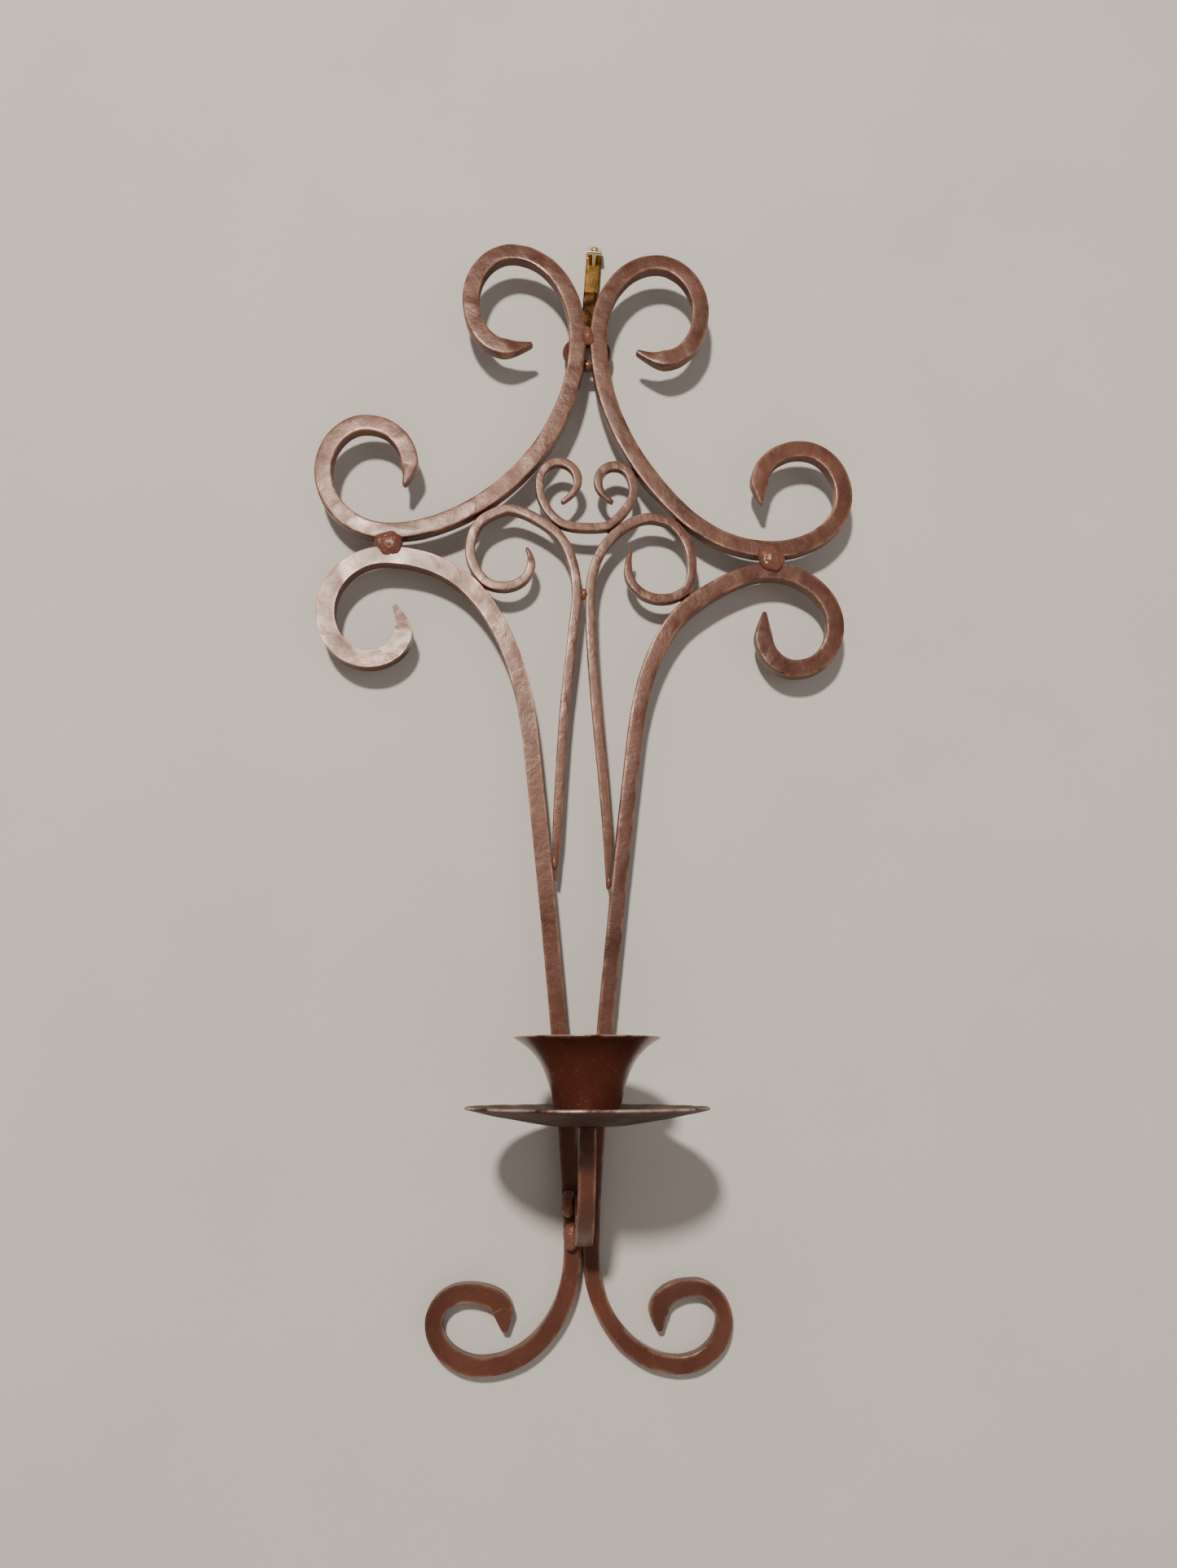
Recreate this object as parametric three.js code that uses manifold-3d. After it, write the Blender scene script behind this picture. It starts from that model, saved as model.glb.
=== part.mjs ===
// Hand-forged wall sconce for one taper candle, hanging by a ring on a brass picture hook.
// Millimetres, +Z up. The wall is the plane y = 0 and the sconce stands in front of it, towards
// -Y. The origin is on the wall, in the middle of the back of the hook's strip.
import * as THREE from 'three';
import { mergeVertices } from 'three/addons/utils/BufferGeometryUtils.js';
import Module from 'manifold-3d';

const wasm = await Module();
wasm.setup();

// ---- Driving dimensions ----

const GAP = 0.3; // left between pieces that touch

// Bar stock: width is seen from the front, depth runs from back to front.
const MAIN_BAR = { width: 9, depth: 7, tip: 2.4, tipDepth: 4.4 };
const STEM_WIDTH = 7.6; // the main bars are drawn down below the inner scrolls
const INNER_BAR = { width: 5, depth: 5, tip: 1.6, tipDepth: 3.2 };
const CROWN_BAR = { width: 4.6, depth: 4.6, tip: 2.2, tipDepth: 3.2 };
const TAPER_START = 1.02; // a curl's width, as a share of the bar's, where its point begins

// Joints of the frame, in its own plane: x across, z up from the lowest point of the foot.
const FOOT_RISE = 48.5; // lowest point up to the foot joint
const STEM_LENGTH = 304; // foot joint up to the inner joint
const TOP_RISE = 141.5; // inner joint up to the top joint
const SPREAD_LEFT = 96.5; // axis out to each side joint
const SPREAD_RIGHT = 92.5;
const SIDE_RISE_LEFT = 25.8; // inner joint up to each side joint
const SIDE_RISE_RIGHT = 20.5;

// Spaces between the bars that the welds fill.
const TOP_SPACE = 1.4;
const SIDE_SPACE_LEFT = 3.4;
const SIDE_SPACE_RIGHT = 2;
const INNER_SPACE = 1.4;

// Candle arm, pan and cup.
const CANDLE = { radius: 11, clearance: 0.3 };
const ARM = { width: 7.2, depth: 7.2, tail: 16, above: 9, rise: 46.8, heel: 9, straight: 3 };
const PAN = { radius: 49, flat: 15, depth: 7.4, wall: 1.3, rim: 1.2, clearance: 5.4 };
const CUP = { rim: 30, height: 32.6, wall: 1.2, flare: 7 };
const SCREW = { shank: 2, head: 3.9, headHeight: 2.4, edge: 0.6, length: 9, clearance: 0.25 };

// Hanging ring, picture hook and nail.
const STAND_OFF = 12.5; // wall to the back of the frame, behind the ring's weld
const RING = { radius: 11.15, wire: 1.85, belowJoint: 2 };
const HOOK = {
  width: 8.4, thickness: 1.5, drop: 53, tilt: 3.6, trough: 3, lip: 25.3, top: 11, fold: 1.7, flap: 6.5,
};
const NAIL = {
  shank: 0.8, length: 24, point: 3, head: 2.6, headHeight: 1.3, slope: 38, clearance: 0.35, slot: 2,
};

// ---- Materials ----

const iron = new THREE.MeshStandardMaterial({ color: 0x3a2722, roughness: 0.45, metalness: 0.25 });
const bead = new THREE.MeshStandardMaterial({ color: 0x402a24, roughness: 0.5, metalness: 0.25 });
const brass = new THREE.MeshStandardMaterial({ color: 0xb08a45, roughness: 0.3, metalness: 0.9 });
const steel = new THREE.MeshStandardMaterial({ color: 0x4a3a33, roughness: 0.4, metalness: 0.6 });

// ---- Bars: routes and sweeps ----

const DEG = Math.PI / 180;
const TURN_STEP = 9; // degrees and millimetres between a bar's sections, at most
const LENGTH_STEP = 12;
const unit = (heading) => new THREE.Vector2(Math.cos(heading * DEG), Math.sin(heading * DEG));
const node = (x, z, heading, size = {}) => ({ x, z, heading, ...size });

// One bend of a route: an elliptical arc that leaves point a and reaches point b along their
// headings. Where the headings nearly agree it is a straight or a gentle S.
function bend(a, b) {
  const start = new THREE.Vector2(a.x, a.z);
  const end = new THREE.Vector2(b.x, b.z);
  const out = unit(a.heading);
  const into = unit(b.heading);
  const chord = end.clone().sub(start);
  const turn = Math.asin(THREE.MathUtils.clamp(out.cross(into), -1, 1));
  let before = chord.length() / 3;
  let after = before;
  if (Math.abs(turn) > 3 * DEG) {
    const toCorner = chord.cross(into) / out.cross(into);
    const fromCorner = out.cross(chord) / out.cross(into);
    if (toCorner > 0 && fromCorner > 0) {
      const fullness = (4 / 3) * Math.tan(turn / 4) / Math.tan(turn / 2);
      before = fullness * toCorner;
      after = fullness * fromCorner;
    }
  }
  const curve = new THREE.CubicBezierCurve(
    start,
    out.multiplyScalar(before).add(start),
    into.multiplyScalar(-after).add(end),
    end,
  );
  const byTurn = Math.abs(turn) / (TURN_STEP * DEG);
  const byLength = curve.getLength() / LENGTH_STEP;
  return { curve, steps: Math.ceil(Math.max(3, byTurn, byLength)) };
}

// Sections along a route, each with its place, its left-hand normal, its width and its depth.
function sections(route, stock, grow = 0) {
  const list = [];
  route.slice(1).forEach((b, i) => {
    const a = route[i];
    const { curve, steps } = bend(a, b);
    for (let k = i ? 1 : 0; k <= steps; k += 1) {
      const t = k / steps;
      const along = curve.getTangent(t);
      const mix = (key) => THREE.MathUtils.lerp(a[key] ?? stock[key], b[key] ?? stock[key], t);
      list.push({
        at: curve.getPoint(t),
        side: new THREE.Vector2(-along.y, along.x),
        half: mix('width') / 2 + grow,
        deep: mix('depth') / 2 + grow,
      });
    }
  });
  return list;
}

// A closed square bar along a route in the XZ plane, its depth centred on y = middle.
function sweptBar(route, stock, middle, grow = 0) {
  const rings = sections(route, stock, grow);
  const position = [];
  for (const { at, side, half, deep } of rings) {
    for (const [s, d] of [[1, -1], [-1, -1], [-1, 1], [1, 1]]) {
      position.push(at.x + side.x * half * s, middle + deep * d, at.y + side.y * half * s);
    }
  }
  const index = [];
  const quad = (a, b, c, d) => index.push(a, b, c, a, c, d);
  for (let r = 0; r + 1 < rings.length; r += 1) {
    for (let k = 0; k < 4; k += 1) {
      const next = (k + 1) % 4;
      quad(4 * r + k, 4 * r + next, 4 * r + 4 + next, 4 * r + 4 + k);
    }
  }
  const last = 4 * (rings.length - 1);
  quad(3, 2, 1, 0);
  quad(last, last + 1, last + 2, last + 3);
  const geometry = new THREE.BufferGeometry();
  geometry.setAttribute('position', new THREE.Float32BufferAttribute(position, 3));
  geometry.setIndex(index);
  geometry.computeVertexNormals();
  return geometry;
}

// A curl, walked from its joint to its tip. It starts along the given heading and turns by
// quarters; each reach is the curl's furthest point that way, measured from the joint.
function curl(joint, offset, heading, quarter, reaches, tip, stock) {
  const points = [node(joint.x + offset[0], joint.z + offset[1], heading)];
  reaches.forEach(([x, z], i) => {
    points.push(node(joint.x + x, joint.z + z, heading + quarter * (i + 1)));
  });
  points[points.length - 1].width = stock.width * TAPER_START;
  const point = { width: stock.tip, depth: stock.tipDepth };
  points.push(node(joint.x + tip[0], joint.z + tip[1], tip[2], point));
  return points;
}

const reversed = (points) => (
  points.slice().reverse().map((p) => ({ ...p, heading: p.heading + 180 }))
);

// Where a route passes a height.
function passes(route, stock, z) {
  const rings = sections(route, stock);
  const i = rings.findIndex((r, k) => k > 0 && (rings[k - 1].at.y - z) * (r.at.y - z) <= 0);
  const [a, b] = [rings[i - 1], rings[i]];
  const t = (z - a.at.y) / (b.at.y - a.at.y);
  const { lerp } = THREE.MathUtils;
  return { x: lerp(a.at.x, b.at.x, t), half: lerp(a.half, b.half, t) };
}

// ---- Joints and touching points of the frame ----

const FOOT = { x: 0, z: FOOT_RISE };
const INNER = { x: 0.2, z: FOOT.z + STEM_LENGTH };
const TOP = { x: 2.2, z: INNER.z + TOP_RISE };
const LEFT = { x: -SPREAD_LEFT, z: INNER.z + SIDE_RISE_LEFT };
const RIGHT = { x: SPREAD_RIGHT, z: INNER.z + SIDE_RISE_RIGHT };

// Two bars that touch share a point and a heading. Each keeps to its own side of the point:
// side is 1 to the left of the heading and -1 to its right.
const touch = (x, z, heading) => ({ x: INNER.x + x, z: INNER.z + z, heading });
function beside(point, side, stock, back = false) {
  const away = unit(point.heading + 90).multiplyScalar(side * (stock.width + GAP) / 2);
  return node(point.x + away.x, point.z + away.y, point.heading + (back ? 180 : 0));
}

const LEFT_UPPER_TOUCH = touch(-50.8, 42.9, 214);
const LEFT_LOWER_TOUCH = touch(-51.3, 6.3, -46);
const RIGHT_UPPER_TOUCH = touch(47.4, 40.1, -43.5);
const RIGHT_LOWER_TOUCH = touch(51.2, 1.2, 217);
const CROWN_LEFT_TOUCH = touch(-14, 37.6, -37);
const CROWN_RIGHT_TOUCH = touch(14.7, 36.4, 41);
const CROWN_BAR_TOUCH = touch(24.6, 68, -57);

// ---- Routes of the seven bars ----

function upperLeftRoute() {
  const top = [-(MAIN_BAR.width + TOP_SPACE) / 2, 0];
  const topReach = [[-39.3, 49], [-60.8, 21.5], [-42, -6.5]];
  const side = [0, (MAIN_BAR.width + SIDE_SPACE_LEFT) / 2];
  const sideReach = [[-33.2, 39.2], [-12.5, 64.7], [9.5, 42.2]];
  return [
    ...reversed(curl(TOP, top, 90, 90, topReach, [-28.5, -3.5, 22], MAIN_BAR)),
    beside(LEFT_UPPER_TOUCH, -1, MAIN_BAR),
    ...curl(LEFT, side, 180, -90, sideReach, [7, 31.5, -108], MAIN_BAR),
  ];
}

function upperRightRoute() {
  const top = [(MAIN_BAR.width + TOP_SPACE) / 2, 0];
  const topReach = [[36.2, 45], [58.8, 16.7], [38.7, -11]];
  const side = [0, (MAIN_BAR.width + SIDE_SPACE_RIGHT) / 2];
  const sideReach = [[39.1, 36], [18.5, 60.7], [-3.7, 41]];
  return [
    ...reversed(curl(TOP, top, 90, -90, topReach, [25, -6.5, 152], MAIN_BAR)),
    beside(CROWN_BAR_TOUCH, 1, MAIN_BAR),
    beside(RIGHT_UPPER_TOUCH, 1, MAIN_BAR),
    ...curl(RIGHT, side, 0, 90, sideReach, [-2.5, 30.5, -80], MAIN_BAR),
  ];
}

const STEM = { width: STEM_WIDTH };
const FOOT_DROP = STEM_WIDTH / 2 - FOOT_RISE; // foot joint down to the lowest centre line

function lowerLeftRoute() {
  const side = [0, -(MAIN_BAR.width + SIDE_SPACE_LEFT) / 2];
  const sideReach = [[-28.5, -34.8], [-7, -59.8], [9.5, -45.3]];
  const foot = [-(STEM_WIDTH + GAP) / 2, 0];
  const footReach = [[-42, FOOT_DROP], [-63.4, -27], [-49.8, -15], [-33.6, -23]];
  const footCurl = curl(FOOT, foot, -90, -90, footReach, [-33, -31, -94], MAIN_BAR);
  return [
    ...reversed(curl(LEFT, side, 180, 90, sideReach, [4.5, -32, 122], MAIN_BAR)),
    beside(LEFT_LOWER_TOUCH, -1, MAIN_BAR),
    node(-25.1, INNER.z - 71, -83.5, STEM),
    ...footCurl.map((point) => ({ ...STEM, ...point })),
  ];
}

function lowerRightRoute() {
  const side = [0, -(MAIN_BAR.width + SIDE_SPACE_RIGHT) / 2];
  const sideReach = [[31.7, -33.4], [11.3, -56.3], [-4.1, -39.5]];
  const foot = [(STEM_WIDTH + GAP) / 2, 0];
  const footReach = [[42, FOOT_DROP], [61.7, -26.5], [48.5, -13.5], [33.2, -23.5]];
  const footCurl = curl(FOOT, foot, -90, 90, footReach, [34, -31.5, -86], MAIN_BAR);
  return [
    ...reversed(curl(RIGHT, side, 0, -90, sideReach, [-3, -26.5, 86], MAIN_BAR)),
    beside(RIGHT_LOWER_TOUCH, 1, MAIN_BAR),
    node(24.9, INNER.z - 70, -96.5, STEM),
    ...footCurl.map((point) => ({ ...STEM, ...point })),
  ];
}

// The stem of an inner scroll ends in a point laid against the lower bar's inner face.
function stemEnd(bar, side, drop, heading) {
  const { x, half } = passes(bar, MAIN_BAR, INNER.z - drop);
  const end = x - side * (half + GAP + INNER_BAR.tip / 2);
  return node(end, INNER.z - drop, heading, { width: INNER_BAR.tip, depth: INNER_BAR.tipDepth });
}

function innerLeftRoute(lowerBar) {
  const pair = -(INNER_BAR.width + INNER_SPACE) / 2;
  return [
    node(-28.2, INNER.z + 25.5, -58, { width: INNER_BAR.tip, depth: INNER_BAR.tipDepth }),
    node(-25.6, INNER.z + 17.5, -90, { width: 4.4 }),
    node(-39.2, INNER.z + 4.5, 180),
    beside(LEFT_LOWER_TOUCH, 1, INNER_BAR, true),
    node(-56, INNER.z + 23, 90),
    beside(LEFT_UPPER_TOUCH, 1, INNER_BAR, true),
    node(-37, INNER.z + 45.8, 0),
    beside(CROWN_LEFT_TOUCH, -1, INNER_BAR),
    node(INNER.x + pair, INNER.z, -90),
    node(-8.2, INNER.z - 50, -96),
    node(-12.1, INNER.z - 118, -92.5, { width: 4.6 }),
    stemEnd(lowerBar, -1, 140, -92.5),
  ];
}

function innerRightRoute(lowerBar) {
  const pair = (INNER_BAR.width + INNER_SPACE) / 2;
  return [
    node(24.2, INNER.z + 25.5, -118, { width: INNER_BAR.tip, depth: INNER_BAR.tipDepth }),
    node(22.2, INNER.z + 14.5, -90, { width: 4.4 }),
    node(38.4, INNER.z - 0.6, 0),
    beside(RIGHT_LOWER_TOUCH, -1, INNER_BAR, true),
    node(54, INNER.z + 18.5, 90),
    beside(RIGHT_UPPER_TOUCH, -1, INNER_BAR, true),
    node(33, INNER.z + 42.4, 180),
    beside(CROWN_RIGHT_TOUCH, -1, INNER_BAR, true),
    node(INNER.x + pair, INNER.z, -90),
    node(7.7, INNER.z - 70, -84.5),
    node(11.9, INNER.z - 120, -86, { width: 4.6 }),
    stemEnd(lowerBar, 1, 143, -84),
  ];
}

function crownRoute() {
  const tip = { width: CROWN_BAR.tip, depth: CROWN_BAR.tipDepth };
  return [
    node(-11, INNER.z + 50, 35, tip),
    node(-2.8, INNER.z + 62, 90),
    node(-12.5, INNER.z + 72, 180),
    node(-22, INNER.z + 59.3, -90),
    beside(CROWN_LEFT_TOUCH, 1, CROWN_BAR),
    node(1.5, INNER.z + 36.6, 0),
    beside(CROWN_RIGHT_TOUCH, 1, CROWN_BAR),
    node(25.2, INNER.z + 57, 90),
    beside(CROWN_BAR_TOUCH, -1, CROWN_BAR, true),
    node(15.4, INNER.z + 70.4, 180),
    node(7.4, INNER.z + 61.3, -90),
    node(15, INNER.z + 50.5, -30, tip),
  ];
}

// ---- Booleans ----

function solid(geometry) {
  const bare = geometry.clone();
  for (const name of Object.keys(bare.attributes)) {
    if (name !== 'position') bare.deleteAttribute(name);
  }
  const welded = mergeVertices(bare, 1e-4);
  const mesh = new wasm.Mesh({
    numProp: 3,
    vertProperties: new Float32Array(welded.attributes.position.array),
    triVerts: new Uint32Array(welded.index.array),
  });
  return new wasm.Manifold(mesh);
}

function geometryOf(manifold) {
  const { vertProperties, triVerts } = manifold.getMesh();
  const geometry = new THREE.BufferGeometry();
  geometry.setAttribute('position', new THREE.Float32BufferAttribute(vertProperties, 3));
  geometry.setIndex(new THREE.BufferAttribute(triVerts, 1));
  geometry.computeVertexNormals();
  return geometry;
}

function cut(geometry, ...tools) {
  return geometryOf(tools.reduce((left, tool) => left.subtract(solid(tool)), solid(geometry)));
}

// ---- Assembly ----

const sconce = new THREE.Group();
const frame = new THREE.Group();
const candleGroup = new THREE.Group();
const hook = new THREE.Group();
sconce.add(frame, candleGroup, hook);

function place(group, name, geometry, material) {
  const mesh = new THREE.Mesh(geometry, material);
  mesh.name = name;
  group.add(mesh);
}

// The hook is nailed up a little out of plumb, and the ring's centre is on its line.
const RING_X = -HOOK.drop * Math.sin(HOOK.tilt * DEG);
const RING_Z = -HOOK.drop * Math.cos(HOOK.tilt * DEG);

// The frame hangs with its foot against the wall and its top standing off it. Heights are
// counted from its lowest point, and the origin is at HANG_HEIGHT.
const RING_HEIGHT = TOP.z - RING.belowJoint;
const HANG_HEIGHT = RING_HEIGHT - RING_Z;
const LEAN = Math.asin(STAND_OFF / (RING_HEIGHT - RING.radius));
const frontOff = (height) => GAP + height * Math.sin(LEAN) + MAIN_BAR.depth / Math.cos(LEAN);
frame.rotation.x = LEAN;
frame.position.set(RING_X - TOP.x, -GAP, -HANG_HEIGHT);
frame.updateMatrixWorld(true);

// Every bar is centred on the same plane inside the frame.
const MIDDLE = -MAIN_BAR.depth / 2;
const upperLeft = upperLeftRoute();
const upperRight = upperRightRoute();
const lowerLeft = lowerLeftRoute();
const lowerRight = lowerRightRoute();
const bars = [
  ['upper_scroll_left', upperLeft, MAIN_BAR],
  ['upper_scroll_right', upperRight, MAIN_BAR],
  ['lower_scroll_left', lowerLeft, MAIN_BAR],
  ['lower_scroll_right', lowerRight, MAIN_BAR],
  ['inner_scroll_left', innerLeftRoute(lowerLeft), INNER_BAR],
  ['inner_scroll_right', innerRightRoute(lowerRight), INNER_BAR],
  ['crown_scroll', crownRoute(), CROWN_BAR],
];
const clearances = {}; // each bar's shape grown by the gap, for cutting welds to fit
for (const [name, route, stock] of bars) {
  place(frame, name, sweptBar(route, stock, MIDDLE), iron);
  clearances[name] = sweptBar(route, stock, MIDDLE, GAP);
}

// ---- Candle arm ----

const ARM_FOOT = FOOT.z + ARM.above; // height of the heel's centre line
const PAN_HEIGHT = ARM_FOOT + ARM.rise + GAP;
const REACH = frontOff(PAN_HEIGHT + PAN.depth) + PAN.clearance + PAN.radius;
const ARM_X = RING_X + FOOT.x - TOP.x;

// The arm's route is drawn as stand-off from the wall against height above the foot. Its tail
// lies down the front of the two lower bars, then it turns out and up to the pan.
function armRoute() {
  const tailOff = frontOff(ARM_FOOT + ARM.tail) + GAP + ARM.depth / 2;
  return [
    node(tailOff, ARM_FOOT + ARM.tail, -90),
    node(tailOff, ARM_FOOT + ARM.heel, -90),
    node(tailOff + ARM.heel, ARM_FOOT, 0),
    node(REACH, ARM_FOOT + ARM.rise - ARM.straight, 90),
    node(REACH, ARM_FOOT + ARM.rise, 90),
  ];
}

// Turns a bar drawn as stand-off against height to face out of the wall.
const outOfWall = (geometry) => geometry.rotateZ(-Math.PI / 2);
const armShape = (grow = 0) => (
  outOfWall(sweptBar(armRoute(), ARM, 0, grow)).translate(0, 0, -HANG_HEIGHT)
);
candleGroup.position.set(ARM_X, 0, 0);

// ---- Pan, cup and screw, stacked on the arm's end ----

const PAN_Z = PAN_HEIGHT - HANG_HEIGHT;
const CUP_Z = PAN_Z + PAN.wall + GAP;
const HOLE = SCREW.shank + SCREW.clearance;
const onArmEnd = (geometry, z) => geometry.translate(0, -REACH, z);

// Profiles to be turned are lists of [radius, height].
function lathe(profile, sides) {
  const points = profile.map(([r, z]) => new THREE.Vector2(r, z));
  return new THREE.LatheGeometry(points, sides).rotateX(Math.PI / 2);
}


// A shallow hammered dish with a hole for the screw and a slightly rounded rim.
function panShape() {
  const { radius, flat, depth, wall, rim } = PAN;
  const slope = (t) => (3 * t + t * t) / 4;
  const under = (t) => [flat + (radius - flat) * t, (depth - rim) * slope(t)];
  const outer = [0, 0.2, 0.4, 0.6, 0.8, 1].map(under);
  const inner = [0.97, 0.8, 0.6, 0.4, 0.2, 0].map(under).map(([r, z]) => [r, z + wall]);
  const lip = [[radius, depth - rim / 4], [radius - rim / 2, depth]];
  return lathe([[HOLE, 0], ...outer, ...lip, ...inner, [HOLE, wall], [HOLE, 0]], 40);
}

// A socket that grips the candle at its foot and flares like a trumpet at the rim.
function cupShape() {
  const { rim, height, wall, flare } = CUP;
  const base = CANDLE.radius + CANDLE.clearance + wall;
  const trumpet = rim - base - flare;
  const side = (t) => [base + flare * t + trumpet * t ** 5, height * t];
  const steps = [0, 0.15, 0.35, 0.55, 0.7, 0.8, 0.88, 0.95, 1];
  const outer = steps.map(side);
  const back = steps.slice(1, -1).reverse();
  const inner = back.map(side).map(([r, z]) => [r - wall, z + wall / 2]);
  const lip = [rim - wall / 3, height + wall / 2];
  const floor = [[base - wall, wall], [HOLE, wall]];
  return lathe([[HOLE, 0], ...outer, lip, ...inner, ...floor, [HOLE, 0]], 32);
}

// A flat-headed screw down through the cup's floor and the pan into the arm's end, with the
// candle standing on its head. Its heights are counted from the underside of the cup.
const SCREW_SEAT = CUP.wall + GAP;
const SCREW_END = SCREW_SEAT - SCREW.length - PAN.wall;
function screwShape() {
  const { shank, head, headHeight, edge } = SCREW;
  const top = SCREW_SEAT + headHeight;
  const shaft = [[0, SCREW_END], [shank, SCREW_END], [shank, SCREW_SEAT], [head, SCREW_SEAT]];
  const rim = [[head, top - edge], [head - edge, top], [0, top]];
  return lathe([...shaft, ...rim], 24);
}

const drilling = onArmEnd(
  lathe([[0, SCREW_END - GAP], [HOLE, SCREW_END - GAP], [HOLE, SCREW_SEAT], [0, SCREW_SEAT]], 18),
  CUP_Z,
);
place(candleGroup, 'candle_arm', cut(armShape(), drilling), iron);
place(candleGroup, 'drip_pan', onArmEnd(panShape(), PAN_Z), iron);
place(candleGroup, 'candle_cup', onArmEnd(cupShape(), CUP_Z), iron);
place(candleGroup, 'cup_screw', onArmEnd(screwShape(), CUP_Z), steel);

// ---- Hanging ring ----

// The ring leans back from its weld behind the top joint, so that the hook's lip passes
// between it and the bars.
const TROUGH_Y = -(HOOK.thickness + HOOK.trough);
const WELD_Y = -(STAND_OFF - RING.wire - GAP);
const RING_LEAN = Math.asin((TROUGH_Y - WELD_Y) / (2 * RING.radius));
const ringShape = (wire) => (
  new THREE.TorusGeometry(RING.radius, wire, 10, 28)
    .rotateX(Math.PI / 2 - RING_LEAN)
    .translate(RING_X, (TROUGH_Y + WELD_Y) / 2, RING_Z)
);
place(sconce, 'hanging_ring', ringShape(RING.wire), iron);

// ---- Picture hook ----

// The strip runs up from its lip through the trough that carries the ring, then up the wall
// to a folded flap. The nail goes down through the flap and the strip into the wall.
const STRIP = { width: HOOK.thickness, depth: HOOK.width };
const FLAP_HEADING = NAIL.slope - 90;

const FOLD = HOOK.fold + HOOK.thickness / 2;
const turned = unit(NAIL.slope).multiplyScalar(FOLD);
const FLAP_START = node(HOOK.thickness / 2 + FOLD + turned.x, HOOK.top + turned.y, FLAP_HEADING);
function alongFlap(length) {
  const { x, y } = unit(FLAP_HEADING).multiplyScalar(length);
  return node(FLAP_START.x + x, FLAP_START.z + y, FLAP_HEADING);
}

// The ring rests on both edges of the trough, so the middle of the trough is a little lower.
function troughHeight() {
  const inside = RING.radius - RING.wire;
  const underRing = Math.sqrt(inside ** 2 - (HOOK.width / 2) ** 2) * Math.cos(RING_LEAN);
  return underRing - HOOK.drop - GAP - HOOK.thickness / 2;
}

function stripRoute() {
  const back = HOOK.thickness / 2;
  const curve = HOOK.trough + HOOK.thickness / 2;
  const low = troughHeight();
  return [
    node(back + 2 * curve, low + curve + HOOK.lip, -90),
    node(back + 2 * curve, low + curve, -90),
    node(back + curve, low, 180),
    node(back, low + curve, 90),
    node(back, HOOK.top, 90),
    node(back + FOLD, HOOK.top + FOLD, 0),
    FLAP_START,
    alongFlap(HOOK.flap),
  ];
}

// Puts a piece turned about Z on the nail's line, its zero on the flap's outer face.
function onNailLine(geometry) {
  const through = alongFlap(HOOK.flap / 2);
  const seat = unit(NAIL.slope).multiplyScalar(HOOK.thickness / 2 + GAP);
  return geometry
    .rotateX((90 - NAIL.slope) * DEG)
    .translate(0, -through.x - seat.x, through.z + seat.y);
}

function nailShape() {
  const { shank, head, headHeight, length, point } = NAIL;
  const rise = (c) => headHeight * (1 + 2 * Math.sqrt(1 - c * c)) / 3;
  const dome = [1, 0.85, 0.5, 0].map((c) => [head * c, rise(c)]);
  const profile = [[0, -length], [shank, point - length], [shank, 0], [head, 0], ...dome];
  return onNailLine(lathe(profile, 14));
}

function nailHole() {
  const radius = NAIL.shank + NAIL.clearance;
  const profile = [[0, -NAIL.length], [radius, -NAIL.length], [radius, NAIL.head], [0, NAIL.head]];
  return onNailLine(lathe(profile, 14));
}

// The strip's own hole is drawn out downwards, so that a shank slanting into the wall clears
// its lower edge for a short way behind the strip.
function nailSlot() {
  const radius = NAIL.shank + NAIL.clearance;
  const through = alongFlap(HOOK.flap / 2);
  const fall = Math.tan(NAIL.slope * DEG);
  const middle = through.z - (through.x + NAIL.slot / 2) * fall;
  const half = (NAIL.slot / 2) * fall + radius / Math.cos(NAIL.slope * DEG);
  return new THREE.CylinderGeometry(radius, radius, 2 * HOOK.thickness, 20)
    .scale(1, 1, half / radius)
    .translate(0, -HOOK.thickness / 2, middle);
}

const strip = outOfWall(sweptBar(stripRoute(), STRIP, 0));
place(hook, 'hook_strip', cut(strip, nailHole(), nailSlot()), brass);
place(hook, 'hook_nail', nailShape(), brass);
hook.rotation.y = HOOK.tilt * DEG;

// ---- Welds ----

const intoFrame = frame.matrixWorld.clone().invert();
clearances.candle_arm = armShape(GAP).translate(ARM_X, 0, 0).applyMatrix4(intoFrame);
clearances.hanging_ring = ringShape(RING.wire + GAP).applyMatrix4(intoFrame);

// A run of weld metal: a lump laid over a joint, less the room of the pieces it holds. It is
// placed in the frame's plane, with y counted from the frame's back.
function weld(name, [x, y, z], [rx, ry, rz], tilt, pieces) {
  const lump = new THREE.SphereGeometry(1, 14, 10)
    .scale(rx, ry, rz)
    .rotateY(-tilt * DEG)
    .translate(x, y, z);
  place(frame, name, cut(lump, ...pieces.map((piece) => clearances[piece])), bead);
}

const FRONT = -MAIN_BAR.depth;
weld('top_joint_weld', [TOP.x - 0.4, FRONT + 0.6, TOP.z + 0.5], [3.2, 3.2, 5.6], 0,
  ['upper_scroll_left', 'upper_scroll_right']);
weld('side_weld_left', [LEFT.x + 1.4, FRONT + 0.6, LEFT.z], [6.6, 3.2, 6.8], 0,
  ['upper_scroll_left', 'lower_scroll_left']);
weld('side_weld_right', [RIGHT.x + 0.3, FRONT + 0.3, RIGHT.z], [6.2, 3.6, 6.8], 0,
  ['upper_scroll_right', 'lower_scroll_right']);
weld('inner_pair_weld', [INNER.x, FRONT + 1.4, INNER.z + 1], [2, 2.2, 3], 0,
  ['inner_scroll_left', 'inner_scroll_right']);

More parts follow.
